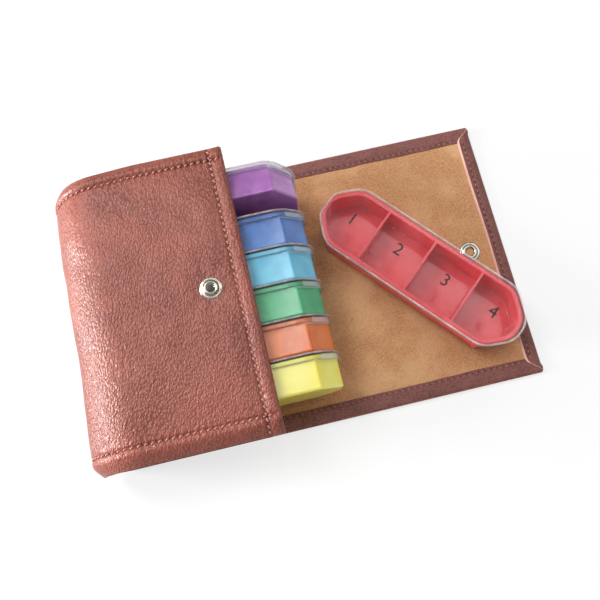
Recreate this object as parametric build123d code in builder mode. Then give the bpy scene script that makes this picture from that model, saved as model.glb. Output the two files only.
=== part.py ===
# Weekly pill organizer: a leather wallet whose pocket holds slim day boxes on edge.
# Millimetres. +X runs from the spine to the end of the open flap, +Y across the wallet, +Z up.
# The origin is the middle of the wallet's footprint, on the surface that it lies on.
import os
from math import acos, atan2, cos, degrees, hypot, radians, sin, sqrt

from build123d import *

# Day box: a tray of four rooms and a lid that slides along it
room_count = 4
room_length = 24.8
divider = 1.2
tray_wall = 1.2
tray_floor = 1.2
tray_width = 30.0
tray_height = 15.0
tray_corner = 10.2  # cut across each corner of the tray's plan
tray_edge_round = 1.2  # on the cut corners of the tray's outside
tray_bottom_round = 0.8
room_round = 9.0  # on the cut corners of the end rooms
rim_reach = 0.9  # the rim stands out from the tray's wall, and the lid's lip runs under it
rim_height = 1.8
lid_plate = 1.2
lid_skirt = 0.9
lid_lip = 0.6
lid_clearance = 0.25
lid_top_round = 0.9
lid_plan_round = 12.0  # on the cut corners of the lid's outside

# Wallet: leather outside, a board for stiffness and a soft lining
leather = 0.9
board = 0.5
lining = 0.6
spine_bend = 12.0  # outer radius of the leather at the spine
pocket_depth = 81.9  # from the back of the spine to the pocket's mouth
headroom = 2.7  # over the boxes that stand in the pocket
spine_room = 3.1  # from the lining at the spine to the boxes
hem = 0.6
hem_width = 8.0
end_hem_width = 7.4
binding = 0.6  # leather turned over the pocket's mouth
binding_width = 6.0
binding_round = 1.1
gusset = 1.6
gusset_inset = 2.2  # from the wallet's long edges
board_margin = 6.0
layer_gap = 0.1  # between the turned edge of the leather and the layers inside it
crease_gap = 0.4  # on each side of a crease
end_gap = 0.6  # from the boxes to the shut flap

# Snap fastener
stud_inset = 17.6  # from the pocket's mouth
socket_inset = 17.4  # from the end of the flap
snap_radius = 5.2
stud_flange = 0.6
stud_groove = 0.3
stud_groove_radius = 4.1
stud_head_radius = 2.3
stud_head_wall = 0.8
stud_head_height = 0.9
rivet_radius = 4.2
rivet_flange = 0.5
post_radius = 1.1
post_clearance = 0.1
socket_rise = 1.2
socket_plate = 0.3
socket_bore_radius = 3.4
spring_wire_radius = 0.2
spring_room = 0.05
spring_turn = 320
cap_radius = 5.8
cap_clearance = 0.1
fold_clearance = 0.3

# Where the boxes lie
box_count = 7
slot_gap = 0.3
rest_gap = 0.3
row_slack = 5.15  # width to spare beside seven boxes
row_margin = 8.75  # from the lower gusset to the first box
lean = 16  # degrees, of the last box in the pocket
loose_near = 16.4  # from the first crease to the nearest corner of the box on the flap
loose_overhang = 1.5  # its furthest corner is over the hem at the flap's end
loose_box_side = -5.1
overrun = 1.0

# Sizes that follow from the ones above
tray_length = room_count * (room_length + divider) - divider + 2 * tray_wall
room_pitch = room_length + divider
lid_reach = rim_reach + lid_clearance + lid_skirt
lid_width = tray_width + 2 * lid_reach
lid_cut = tray_corner + lid_reach * (2 - sqrt(2))
lid_room_round = lid_plan_round - lid_skirt
rim_plan_round = lid_room_round - lid_clearance
lid_low = tray_height - rim_height - lid_clearance - lid_lip
lid_under = tray_height + lid_clearance
box_thickness = lid_under + lid_plate
box_length = tray_length + rim_reach + lid_reach
slot_pitch = box_thickness + slot_gap

wall = leather + board + lining
pocket_clear = lid_width + headroom
panel_top = pocket_clear + 2 * wall
hem_top = wall + hem
socket_foot = leather + board  # the socket is sunk in the lining
socket_top = socket_foot + socket_rise
fold_rise = panel_top + stud_flange + fold_clearance + socket_top - 2 * hem_top

# The shut flap goes round the boxes' cut ends in four equal folds, with these flat lengths between them
bend_back = lid_cut - end_gap * sqrt(2) - hem_top + wall + rest_gap  # boxes' ends to the first crease
bend_reach = bend_back + end_gap
bend_length = bend_reach * sqrt(2)
wall_length = fold_rise - 2 * bend_reach
back_length = wall + spine_room + box_length - bend_back
cover_length = back_length - pocket_depth + stud_inset + socket_inset
wallet_length = back_length + 2 * bend_length + wall_length + cover_length
wallet_width = row_slack + box_count * slot_pitch + 2 * (gusset_inset + gusset)
half_width = wallet_width / 2
inner_half_width = half_width - hem - layer_gap
board_half_width = half_width - board_margin
gusset_face = half_width - gusset_inset - gusset

spine_x = -wallet_length / 2
box_start_x = spine_x + wall + spine_room
tray_middle_x = box_start_x + rim_reach + tray_length / 2
crease_x = spine_x + back_length
wall_x = crease_x + bend_length
far_x = wall_x + wall_length
fold_x = far_x + bend_length
flap_end_x = fold_x + cover_length
mouth_x = spine_x + pocket_depth
socket_x = flap_end_x - socket_inset
stud_x = mouth_x - stud_inset  # where the socket comes down when the flap shuts
bend_x = spine_x + spine_bend

os.makedirs("parts", exist_ok=True)


def save(builder, label):
    """Label a finished piece and write it to its own file."""
    builder.part.label = label
    export_step(builder.part, f"parts/{label}.step")


def box_outline(reach, round_radius=0):
    """Plan of the day box, this far outside the tray's wall: a long octagon."""
    with BuildSketch() as outline:
        Rectangle(tray_length + 2 * reach, tray_width + 2 * reach)
        chamfer(outline.vertices(), tray_corner + reach * (2 - sqrt(2)))
        if round_radius:
            fillet(outline.vertices(), round_radius)
    return outline.sketch


def open_outline(reach, round_radius=0):
    """The same plan run out past the lid's trailing end, so that the lid can slide off."""
    with BuildSketch() as outline:
        add(box_outline(reach, round_radius))
        with Locations((-tray_length / 2, 0)):
            Rectangle(tray_length, tray_width + 2 * reach)
    return outline.sketch


def room_outline():
    """Plan of the tray's rooms: the inside of its wall less the dividers."""
    with BuildSketch() as outline:
        add(box_outline(-tray_wall, room_round))
        with GridLocations(room_pitch, 0, room_count - 1, 1):
            Rectangle(divider, tray_width, mode=Mode.SUBTRACT)
    return outline.sketch


# Planes of the seven boxes: origin under the tray's middle, x along the box, z towards its lid
box_planes = {}
standing_z = wall + rest_gap + lid_width / 2
row_y = -gusset_face + row_margin
for place, colour in enumerate(("yellow", "orange", "green", "cyan", "blue")):
    box_side = row_y + place * slot_pitch
    box_planes[colour] = Plane((tray_middle_x, box_side, standing_z), (1, 0, 0), (0, 1, 0))

# The sixth box leans into the empty slot: its lid's lower edge is on the lining
lean_cos = cos(radians(lean))
lean_sin = sin(radians(lean))
leaning_y = box_side + slot_pitch + tray_width / 2 * lean_sin
leaning_z = wall + rest_gap + lid_width / 2 * lean_cos + box_thickness * lean_sin
box_planes["purple"] = Plane((tray_middle_x, leaning_y, leaning_z), (1, 0, 0), (0, lean_cos, -lean_sin))

# The seventh lies flat on the open flap, turned until its corners fit between the crease and the hem
corner_along = tray_length / 2 + lid_reach - lid_cut / 2
corner_across = lid_width / 2 - lid_cut / 2
loose_half = (flap_end_x - end_hem_width + loose_overhang - crease_x - loose_near) / 2
turn = -atan2(corner_across, corner_along) - acos(loose_half / hypot(corner_along, corner_across))
loose_origin = (crease_x + loose_near + loose_half, loose_box_side, hem_top + rest_gap)
box_planes["red"] = Plane(loose_origin, (cos(turn), sin(turn), 0), (0, 0, 1))

for colour, plane in box_planes.items():
    up = Axis(plane.origin, plane.z_dir)

    with BuildPart() as tray:
        with BuildSketch(plane):
            add(box_outline(0, tray_edge_round))
        extrude(amount=tray_height)
        fillet(tray.faces().sort_by(up)[0].edges(), tray_bottom_round)
        with BuildSketch(plane.offset(tray_height - rim_height)):
            add(box_outline(rim_reach, rim_plan_round))
        extrude(amount=rim_height)
        with BuildSketch(plane.offset(tray_floor)):
            add(room_outline())
        extrude(amount=tray_height, mode=Mode.SUBTRACT)
    save(tray, f"{colour}_tray")

    with BuildPart() as lid:
        with BuildSketch(plane.offset(lid_low)):
            add(box_outline(lid_reach, lid_plan_round))
        extrude(amount=box_thickness - lid_low)
        fillet(lid.faces().sort_by(up)[-1].edges(), lid_top_round)
        # the space for the tray's rim, then the narrower way past the lip
        with BuildSketch(plane.offset(lid_low + lid_lip)):
            add(open_outline(rim_reach + lid_clearance, lid_room_round))
        extrude(amount=lid_under - lid_low - lid_lip, mode=Mode.SUBTRACT)
        with BuildSketch(plane.offset(lid_low)):
            add(open_outline(lid_clearance))
        extrude(amount=lid_lip, mode=Mode.SUBTRACT)
        # no skirt round the trailing end, and the plate stops over the rim there
        with BuildSketch(plane.offset(lid_low)):
            with Locations((tray_corner - tray_length / 2, 0)):
                Rectangle(tray_length, lid_width + overrun, align=(Align.MAX, Align.CENTER))
        extrude(amount=lid_under - lid_low, mode=Mode.SUBTRACT)
        with BuildSketch(plane.offset(lid_low)):
            with Locations((-tray_length / 2 - rim_reach, 0)):
                Rectangle(tray_length, lid_width + overrun, align=(Align.MAX, Align.CENTER))
        extrude(amount=box_thickness - lid_low, mode=Mode.SUBTRACT)
    save(lid, f"{colour}_lid")


def wrap_band(outer_depth, inner_depth, low_end, high_end):
    """Section of one layer of the back, spine and front, between two depths from the outside."""
    outer_bend = spine_bend - outer_depth
    inner_bend = spine_bend - inner_depth
    low_bend = (bend_x, spine_bend)
    high_bend = (bend_x, panel_top - spine_bend)
    with BuildSketch() as band:
        with BuildLine():
            under = Line((low_end, outer_depth), (bend_x, outer_depth))
            heel = CenterArc(low_bend, outer_bend, 270, -90)
            brow = CenterArc(high_bend, outer_bend, 180, -90)
            Line(heel @ 1, brow @ 0)
            over = Line(brow @ 1, (high_end, panel_top - outer_depth))
            below = Line((high_end, panel_top - inner_depth), (bend_x, panel_top - inner_depth))
            Line(over @ 1, below @ 0)
            inner_brow = CenterArc(high_bend, inner_bend, 90, 90)
            inner_heel = CenterArc(low_bend, inner_bend, 180, 90)
            Line(inner_brow @ 1, inner_heel @ 0)
            floor = Line(inner_heel @ 1, (low_end, inner_depth))
            Line(floor @ 1, under @ 0)
        make_face()
    return band.sketch


def hem_section(side):
    """Section across a turned edge: leather brought round the edge and down on the lining."""
    edge = side * half_width
    inside = side * (half_width - hem)
    tip = side * (half_width - hem_width)
    with BuildSketch() as section:
        with BuildLine():
            Polyline(
                (edge, leather), (edge, hem_top), (tip, hem_top),
                (tip, wall), (inside, wall), (inside, leather),
                close=True,
            )
        make_face()
    return section.sketch


def panel(label, start, end, low, high, half, hole=0):
    """A flat layer of the flap or a board, with a hole for the snap's post where one is given."""
    with BuildPart() as layer:
        with BuildSketch(Plane.XY.offset(low)):
            with Locations((start, 0)):
                Rectangle(end - start, 2 * half, align=(Align.MIN, Align.CENTER))
            if hole:
                with Locations((socket_x if start >= crease_x else stud_x, 0)):
                    Circle(hole, mode=Mode.SUBTRACT)
        extrude(amount=high - low)
    save(layer, label)


# Pocket: leather and lining wrap round the spine, with a board in the back and one in the front
back_end = crease_x - crease_gap
binding_seat = mouth_x - binding
post_hole = post_radius + post_clearance
wrap_layers = (
    ("wrap_leather", 0, leather, half_width),
    ("wrap_lining", leather + board, wall, inner_half_width),
)
for label, outer_depth, inner_depth, half in wrap_layers:
    with BuildPart() as layer:
        with BuildSketch(Plane.XZ):
            add(wrap_band(outer_depth, inner_depth, back_end, binding_seat))
        extrude(amount=half, both=True)
        with BuildSketch(Plane.XY.offset(panel_top)):
            with Locations((stud_x, 0)):
                Circle(post_hole)
        extrude(amount=-wall, mode=Mode.SUBTRACT)
    save(layer, label)

front_low = panel_top - leather - board
panel("back_board", bend_x, back_end, leather, leather + board, board_half_width)
panel("front_board", bend_x, binding_seat, front_low, front_low + board, board_half_width, post_hole)

gusset_end = mouth_x - binding_width - layer_gap
gusset_depth = wall + layer_gap
gusset_height = pocket_clear - 2 * layer_gap
for label, side in (("gusset_upper", 1), ("gusset_lower", -1)):
    with BuildPart() as end_wall:
        with BuildSketch(Plane.XZ.offset(-side * gusset_face)) as outline:
            with Locations((spine_x + gusset_depth, gusset_depth)):
                Rectangle(gusset_end - spine_x - gusset_depth, gusset_height, align=(Align.MIN, Align.MIN))
            fillet(outline.vertices().group_by(Axis.X)[0], spine_bend - gusset_depth)
        extrude(amount=-side * gusset)
    save(end_wall, label)

with BuildPart() as mouth_binding:
    with BuildSketch(Plane.XZ) as section:
        with Locations((mouth_x, panel_top - wall / 2)):
            Rectangle(binding_width, wall + 2 * binding, align=(Align.MAX, Align.CENTER))
        fillet(section.vertices().group_by(Axis.X)[-1], binding_round)
        with Locations((binding_seat, panel_top - wall / 2)):
            Rectangle(binding_width, wall, align=(Align.MAX, Align.CENTER), mode=Mode.SUBTRACT)
    extrude(amount=half_width, both=True)
save(mouth_binding, "mouth_binding")

# Flap: two bends and a wall that cover the boxes' ends, then the cover that lies on the front
flap_strips = (
    ("near_bend", crease_x + crease_gap, wall_x - crease_gap),
    ("wall", wall_x + crease_gap, far_x - crease_gap),
    ("far_bend", far_x + crease_gap, fold_x - crease_gap),
)
cover_start = fold_x + crease_gap
cover_inner_end = flap_end_x - hem - layer_gap
end_hem_start = flap_end_x - end_hem_width
cap_hole = cap_radius + cap_clearance
socket_hole = snap_radius + cap_clearance
for strip, start, end in flap_strips:
    panel(f"{strip}_leather", start, end, 0, leather, half_width)
    panel(f"{strip}_lining", start, end, leather, wall, inner_half_width)
panel("cover_leather", cover_start, flap_end_x, 0, leather, half_width, cap_hole)
panel("cover_board", cover_start, cover_inner_end, leather, leather + board, inner_half_width, post_hole)
panel("cover_lining", cover_start, cover_inner_end, socket_foot, wall, inner_half_width, socket_hole)

hem_runs = (("base", gusset_end, back_end), *flap_strips, ("cover", cover_start, end_hem_start))
for strip, start, end in hem_runs:
    for place, side in (("upper", 1), ("lower", -1)):
        with BuildPart() as turned_edge:
            with BuildSketch(Plane.YZ.offset(start)):
                add(hem_section(side))
            extrude(amount=end - start)
        save(turned_edge, f"{strip}_hem_{place}")

with BuildPart() as end_hem:
    with BuildSketch(Plane.XZ):
        with BuildLine():
            Polyline(
                (flap_end_x, leather), (flap_end_x, hem_top), (end_hem_start, hem_top),
                (end_hem_start, wall), (flap_end_x - hem, wall), (flap_end_x - hem, leather),
                close=True,
            )
        make_face()
    extrude(amount=half_width, both=True)
save(end_hem, "cover_hem_end")


def turned(label, middle_x, foot, profile, turn_angle=360):
    """A piece of the snap, turned about its own upright axis from a closed profile."""
    with BuildPart() as piece:
        with BuildSketch(Plane((middle_x, 0, foot), (1, 0, 0), (0, -1, 0))):
            with BuildLine():
                Polyline(*profile, close=True)
            make_face()
        revolve(axis=Axis((middle_x, 0, foot), (0, 0, 1)), revolution_arc=turn_angle)
    save(piece, label)


# Stud on the front: flange with a ring groove and a hollow head, held by a rivet from inside
groove_floor = stud_flange - stud_groove
head_top = stud_flange + stud_head_height
head_bore = stud_head_radius - stud_head_wall
turned("snap_stud", stud_x, panel_top, (
    (0, 0), (snap_radius, 0), (snap_radius, stud_flange), (stud_groove_radius, stud_flange),
    (stud_groove_radius, groove_floor), (stud_head_radius, groove_floor), (stud_head_radius, head_top),
    (head_bore, head_top), (head_bore, groove_floor), (0, groove_floor),
))
rivet_foot = panel_top - wall - rivet_flange
turned("stud_rivet", stud_x, rivet_foot, (
    (0, 0), (rivet_radius, 0), (rivet_radius, rivet_flange), (post_radius, rivet_flange),
    (post_radius, rivet_flange + wall), (0, rivet_flange + wall),
))

# Socket inside the flap: a ring with a spring in its groove, held by the cap from outside
spring_middle_radius = socket_bore_radius + spring_wire_radius + spring_room
groove_radius = spring_middle_radius + spring_wire_radius + spring_room
groove_half = spring_wire_radius + spring_room
spring_level = (socket_plate + socket_rise) / 2
turned("snap_socket", socket_x, socket_foot, (
    (0, 0), (snap_radius, 0), (snap_radius, socket_rise), (socket_bore_radius, socket_rise),
    (socket_bore_radius, spring_level + groove_half), (groove_radius, spring_level + groove_half),
    (groove_radius, spring_level - groove_half), (socket_bore_radius, spring_level - groove_half),
    (socket_bore_radius, socket_plate), (0, socket_plate),
))
with BuildPart() as spring:
    with BuildSketch(Plane((socket_x, 0, socket_foot), (1, 0, 0), (0, -1, 0))):
        with Locations((spring_middle_radius, spring_level)):
            Circle(spring_wire_radius)
    revolve(axis=Axis((socket_x, 0, socket_foot), (0, 0, 1)), revolution_arc=spring_turn)
save(spring, "socket_spring")
turned("snap_cap", socket_x, 0, (
    (0, 0), (cap_radius, 0), (cap_radius, leather), (post_radius, leather),
    (post_radius, socket_foot), (0, socket_foot),
))

print(f"day box {box_length:.1f} x {lid_width:.1f} x {box_thickness:.1f}")
print(f"wallet {wallet_length:.1f} x {wallet_width:.1f}, front at {panel_top:.1f}")
print(f"spine {spine_x:.3f}, mouth {mouth_x:.3f}, boxes from {box_start_x:.3f}")
print(f"creases {crease_x:.3f}, {wall_x:.3f}, {far_x:.3f}, {fold_x:.3f} at {hem_top:.2f}")
print(f"stud {stud_x:.3f}, socket {socket_x:.3f}, fold rise {fold_rise:.2f}")
print(f"loose box at {loose_origin[0]:.2f}, turned {degrees(turn):.2f} degrees")
print(f"first box at {row_y:.2f}, pitch {slot_pitch:.2f}, at {standing_z:.2f}")
print(f"leaning box at {leaning_y:.3f}, {leaning_z:.3f}")
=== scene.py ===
import math
import bpy
import numpy as np
from mathutils import Matrix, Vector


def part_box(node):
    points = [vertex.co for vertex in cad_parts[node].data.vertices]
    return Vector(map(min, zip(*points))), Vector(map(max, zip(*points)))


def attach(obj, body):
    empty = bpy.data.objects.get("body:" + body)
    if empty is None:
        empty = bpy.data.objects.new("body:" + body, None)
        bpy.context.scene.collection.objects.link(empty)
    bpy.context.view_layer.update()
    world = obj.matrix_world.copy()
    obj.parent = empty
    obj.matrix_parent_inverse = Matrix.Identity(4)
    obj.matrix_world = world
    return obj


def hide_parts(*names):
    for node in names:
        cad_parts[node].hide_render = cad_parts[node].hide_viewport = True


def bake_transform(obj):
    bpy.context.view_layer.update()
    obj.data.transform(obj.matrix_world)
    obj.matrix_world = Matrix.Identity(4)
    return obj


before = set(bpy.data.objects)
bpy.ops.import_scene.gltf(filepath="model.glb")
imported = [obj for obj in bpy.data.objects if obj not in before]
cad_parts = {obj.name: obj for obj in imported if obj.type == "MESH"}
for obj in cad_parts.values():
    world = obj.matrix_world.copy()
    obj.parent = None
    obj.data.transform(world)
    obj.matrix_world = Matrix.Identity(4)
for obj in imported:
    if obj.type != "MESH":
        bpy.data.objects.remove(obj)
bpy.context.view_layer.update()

mm = 0.001
print("frame loaded")


def boxOf(node):
    low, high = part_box(node)
    return np.array(low) / mm, np.array(high) / mm


def tone(red, green, blue):
    level = np.array((red, green, blue)) / 255
    linear = np.where(level < 0.04045, level / 12.92, ((level + 0.055) / 1.055) ** 2.4)
    return (*linear.tolist(), 1.0)


class Wire:
    # a node output that takes part in sums
    def __init__(self, finish, socket):
        self.finish, self.socket = finish, socket

    def maths(self, kind, other, swapped=False):
        pair = (other, self) if swapped else (self, other)
        return self.finish.node("Math", {"operation": kind}, dict(enumerate(pair)))

    def __add__(self, other):
        return self.maths("ADD", other)

    def __rsub__(self, other):
        return self.maths("SUBTRACT", other, True)

    def __mul__(self, other):
        return self.maths("MULTIPLY", other)

    __radd__ = __add__
    __rmul__ = __mul__


class Finish:
    # one material and the short ways to add its nodes
    def __init__(self, name):
        self.material = bpy.data.materials.new(name)
        self.material.use_nodes = True
        self.tree = self.material.node_tree
        self.tree.nodes.clear()

    def node(self, kind, settings=None, sockets=None, out=0):
        made = self.tree.nodes.new("ShaderNode" + kind)
        for key, value in (settings or {}).items():
            setattr(made, key, value)
        for key, value in (sockets or {}).items():
            if isinstance(value, Wire):
                self.tree.links.new(value.socket, made.inputs[key])
            else:
                made.inputs[key].default_value = value
        return Wire(self, made.outputs[out])

    def place(self, scale=(1, 1, 1), turn=0.0):
        # object coordinates in millimetres, turned about the upright and stretched
        spot = self.node("TexCoord", out="Object")
        return self.node("Mapping", {"vector_type": "TEXTURE"},
                         {"Vector": spot, "Rotation": (0, 0, turn), "Scale": [mm / part for part in scale]})

    def noise(self, where, scale, detail=2.0, rough=0.5, warp=0.0):
        return self.node("TexNoise", None, {"Vector": where, "Scale": scale, "Detail": detail,
                                            "Roughness": rough, "Distortion": warp})

    def ramp(self, value, start, end, low=0.0, high=1.0):
        return self.node("MapRange", {"interpolation_type": "SMOOTHSTEP"},
                         {"Value": value, "From Min": start, "From Max": end, "To Min": low, "To Max": high})

    def mix(self, factor, first, second):
        return self.node("Mix", {"data_type": "RGBA"}, {0: factor, 6: first, 7: second}, 2)

    def bump(self, height, depth, strength=1.0, over=None):
        sockets = {"Height": height, "Distance": depth * mm, "Strength": strength}
        if over is not None:
            sockets["Normal"] = over
        return self.node("Bump", None, sockets)

    def skin(self, **sockets):
        return self.node("BsdfPrincipled", None, {key.replace("_", " "): value for key, value in sockets.items()})

    def done(self, shader):
        end = self.tree.nodes.new("ShaderNodeOutputMaterial")
        self.tree.links.new(shader.socket, end.inputs["Surface"])
        return self


def leatherFinish(name, dark, middle, light, gloss):
    # drawn-out pebbles whose valleys are coloured darker, partly the leather's own tone in its creases and partly
    # painted shade, longer creases on the same slant, more worked towards the lower side
    f = Finish(name)
    slant = math.radians(72)
    flat = f.place()
    wander = f.node("TexNoise", None, {"Vector": flat, "Scale": 0.3, "Detail": 2.0}, "Color")
    near, far = (f.node("VectorMath", {"operation": "MULTIPLY_ADD"},
                        {0: wander, 1: 3 * (stray,), 2: f.place(scale, slant)})
                 for stray, scale in ((1.3, (0.74, 1.2, 1.0)), (1.2, (0.17, 0.46, 0.4))))
    pebble = f.node("TexVoronoi", {"feature": "SMOOTH_F1"}, {"Vector": near, "Scale": 1.0, "Smoothness": 0.25})
    crease = f.ramp(f.node("TexVoronoi", {"feature": "DISTANCE_TO_EDGE"}, {"Vector": far, "Scale": 1.0}), 0.0, 0.25)
    swell = f.noise(far, 1.6, 3.0, 0.55)
    pore = f.noise(flat, 5.5, 3.0, 0.6)
    cloud = f.noise(flat, 0.035, 2.0, 0.5)
    lower = f.ramp(f.node("SeparateXYZ", None, {0: flat}, "Y"), 80.0, -30.0)
    worked = f.ramp(f.noise(flat, 0.045, 1.0, 0.5) * 0.5 + lower * 0.5, 0.2, 0.65, 0.4, 1.0)
    height = (1.0 - pebble) * worked + crease * 0.2 + swell * 0.45 * worked + pore * 0.05
    # painted shade, with some of the leather's own crease tone: the pebbles' valleys take the dark colour
    colour = f.mix(f.ramp(pebble, 0.66, 0.2), dark, middle)
    colour = f.mix(f.ramp(cloud, 0.35, 0.7) * 0.4, colour, light)
    return f.done(f.skin(Base_Color=colour, Roughness=f.ramp(swell, 0.3, 0.7, gloss + 0.12, gloss),
                         Specular_IOR_Level=0.42, Normal=f.bump(height, 0.3)))


def feltFinish(name, dark, middle, light):
    # short tangled pile
    f = Finish(name)
    flat = f.place()
    pile = f.noise(flat, 1.5, 4.0, 0.75, 0.6)
    tuft = f.noise(flat, 0.5, 3.0, 0.6)
    cloud = f.noise(flat, 0.05, 3.0, 0.5)
    colour = f.mix(f.ramp(pile * 0.85 + tuft * 0.15, 0.34, 0.62), dark, middle)
    colour = f.mix(f.ramp(cloud, 0.4, 0.7) * 0.5, colour, light)
    return f.done(f.skin(Base_Color=colour, Roughness=0.96, Specular_IOR_Level=0.15, Sheen_Weight=0.25,
                         Normal=f.bump(pile + tuft * 0.5, 0.45, 0.9)))


def plasticFinish(name, colour, deep):
    # moulded colour with faint flow marks, rubbed gloss and edges that shine as if slightly rounded
    f = Finish(name)
    flat = f.place()
    rounded = f.node("Bevel", {"samples": 8}, {"Radius": 0.9 * mm})
    flow = f.noise(flat, 0.06, 3.0, 0.55, 0.4)
    rub = f.noise(f.place((0.3, 1.6, 1.0), 0.4), 1.2, 4.0, 0.65)
    return f.done(f.skin(Base_Color=f.mix(f.ramp(flow, 0.35, 0.68), deep, colour),
                         Roughness=f.ramp(rub, 0.3, 0.75, 0.1, 0.24), Specular_IOR_Level=0.55,
                         Coat_Weight=0.25, Coat_Roughness=0.12, Subsurface_Weight=0.35, Subsurface_Scale=0.004,
                         Normal=f.bump(f.noise(flat, 0.35), 0.05, 0.4, rounded)))


def clearFinish(name):
    # clear moulding: see-through face on, milky at a slant, with hazy rubbing
    f = Finish(name)
    flat = f.place()
    haze = f.ramp(f.noise(flat, 0.09, 4.0, 0.6), 0.4, 0.75)
    scuff = f.ramp(f.noise(f.place((0.15, 2.2, 1.0), 0.6), 1.5, 3.0, 0.6), 0.55, 0.75)
    slant = f.node("LayerWeight", None, {"Blend": 0.28}, "Fresnel")
    body = f.skin(Base_Color=f.mix(haze, tone(232, 234, 236), tone(247, 247, 248)),
                  Roughness=f.ramp(scuff, 0.0, 1.0, 0.08, 0.2), Specular_IOR_Level=0.7)
    through = f.node("BsdfTransparent", None, {"Color": (0.965, 0.97, 0.975, 1)})
    share = slant * 0.45 + haze * 0.012 + scuff * 0.01 + 0.004
    return f.done(f.node("MixShader", None, {0: share, 1: through, 2: body}))


def rimFinish(name):
    # the lid's thick rounded edge, coloured pale as a painted highlight on its round, partly see-through
    f = Finish(name)
    flat = f.place()
    cloud = f.noise(flat, 0.25, 3.0, 0.6)
    pale = f.mix(f.ramp(cloud, 0.35, 0.7), tone(252, 228, 228), tone(255, 248, 248))
    body = f.skin(Base_Color=pale, Roughness=0.12)
    through = f.node("BsdfTransparent", None, {"Color": (0.97, 0.97, 0.975, 1)})
    return f.done(f.node("MixShader", None, {0: f.ramp(cloud, 0.3, 0.75, 0.16, 0.34), 1: through, 2: body}))


def metalFinish(name, bright, worn):
    # plated metal with fine scratches and dull patches
    f = Finish(name)
    flat = f.place()
    scratch = f.noise(f.place((0.4, 5.0, 2.0), 0.9), 2.0, 3.0, 0.6)
    patch = f.noise(flat, 0.35, 4.0, 0.6)
    return f.done(f.skin(Base_Color=f.mix(f.ramp(patch, 0.4, 0.7), bright, worn), Metallic=1.0,
                         Roughness=f.ramp(scratch, 0.3, 0.7, 0.16, 0.32),
                         Normal=f.bump(scratch, 0.02, 0.4)))


def plainFinish(name, dark, light, scale, rough, depth):
    # two tones mixed by one even grain
    f = Finish(name)
    grain = f.noise(f.place(), scale, 4.0, 0.65)
    return f.done(f.skin(Base_Color=f.mix(f.ramp(grain, 0.35, 0.68), dark, light), Roughness=rough,
                         Normal=f.bump(grain, depth, 0.7)))


def edgedFinish(name, dark, middle, raw, grain, gloss):
    # turned leather whose cut edge shows pale where the piece's own edge value is high
    f = Finish(name)
    flat = f.place()
    edge = f.node("Attribute", {"attribute_name": "rawEdge"}, None, "Fac")
    cell = f.node("TexVoronoi", {"feature": "DISTANCE_TO_EDGE"}, {"Vector": flat, "Scale": grain})
    pebble = f.ramp(cell, 0, 0.3)
    cloud = f.noise(flat, 0.22, 4.0, 0.6)
    fray = f.noise(flat, 2.2, 3.0, 0.6)
    colour = f.mix(f.ramp(pebble * 0.5 + cloud * 0.7, 0.3, 0.85), dark, middle)
    colour = f.mix(f.ramp(edge + fray * 0.35, 0.62, 0.9), colour, raw)
    return f.done(f.skin(Base_Color=colour, Roughness=f.ramp(pebble, 0, 1, gloss + 0.14, gloss),
                         Normal=f.bump(pebble * 0.6 + fray * 0.4, 0.22, 0.8)))


outerLeather = leatherFinish("outerLeather", tone(116, 59, 48), tone(149, 80, 66), tone(164, 92, 77), 0.34)
turnedLeather = edgedFinish("turnedLeather", tone(106, 60, 54), tone(146, 90, 82), tone(230, 182, 168), 1.3, 0.42)
liningFelt = feltFinish("liningFelt", tone(168, 115, 78), tone(216, 163, 116), tone(230, 185, 138))
threadFinish = plainFinish("thread", tone(160, 100, 88), tone(202, 144, 128), 3.5, 0.6, 0.1)
hemThread = plainFinish("hemThread", tone(140, 88, 80), tone(186, 130, 118), 3.5, 0.6, 0.1)
# needle holes: their dark colour is painted shade
holeShadeFinish = plainFinish("needleHoleShade", tone(48, 26, 22), tone(66, 36, 30), 3.0, 0.9, 0.05)
boardFinish = plainFinish("greyBoard", tone(128, 120, 108), tone(156, 148, 134), 1.2, 0.9, 0.1)
nickel = metalFinish("nickel", tone(188, 182, 168), tone(150, 144, 130))
# dark metal for the socket's spring, and painted shade for the snap's hollows
darkMetalAndHollowShade = plainFinish("darkMetalAndHollowShade", tone(34, 36, 32), tone(58, 60, 54), 2.0, 0.5, 0.05)
inkFinish = plainFinish("ink", tone(16, 15, 16), tone(34, 32, 34), 1.5, 0.55, 0.03)
clearPlastic = clearFinish("clearPlastic")
paintedHighlightRim = rimFinish("paintedHighlightRim")
plasticTones = {
    "purple": (tone(180, 126, 190), tone(156, 100, 168)),
    "blue": (tone(88, 134, 200), tone(66, 110, 180)),
    "cyan": (tone(122, 204, 230), tone(92, 182, 214)),
    "green": (tone(74, 180, 126), tone(52, 158, 104)),
    "orange": (tone(228, 122, 46), tone(214, 102, 34)),
    "yellow": (tone(252, 240, 122), tone(244, 226, 92)),
    "red": (tone(244, 84, 92), tone(230, 66, 74)),
}
plastics = {name: plasticFinish(name + "Plastic", *pair) for name, pair in plasticTones.items()}
print("finishes made")


def ease(start, end, value):
    part = np.clip((value - start) / (end - start), 0, 1)
    return part * part * (3 - 2 * part)


def bell(value, width):
    return np.exp(-(value / width) ** 2)


def ripple(x, y, size):
    # three crossing waves, each bent by the next
    return (np.sin(x / size + 1.3 * np.sin(0.7 * y / size)) + np.sin(1.1 * y / size + 2.1 + np.cos(0.6 * x / size))
            + np.sin(0.8 * (x + y) / size + 0.7)) / 3


def makePiece(name, points, faces, finishes, slots=None):
    mesh = bpy.data.meshes.new(name)
    mesh.from_pydata((points * mm).tolist(), [], faces)
    for finish in finishes:
        mesh.materials.append(finish.material)
    if slots is not None:
        mesh.polygons.foreach_set("material_index", slots.astype(np.int32))
    mesh.polygons.foreach_set("use_smooth", np.ones(len(faces), bool))
    mesh.set_sharp_from_angle(angle=math.radians(55))
    mesh.update()
    piece = bpy.data.objects.new(name, mesh)
    bpy.context.collection.objects.link(piece)
    return piece


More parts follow.
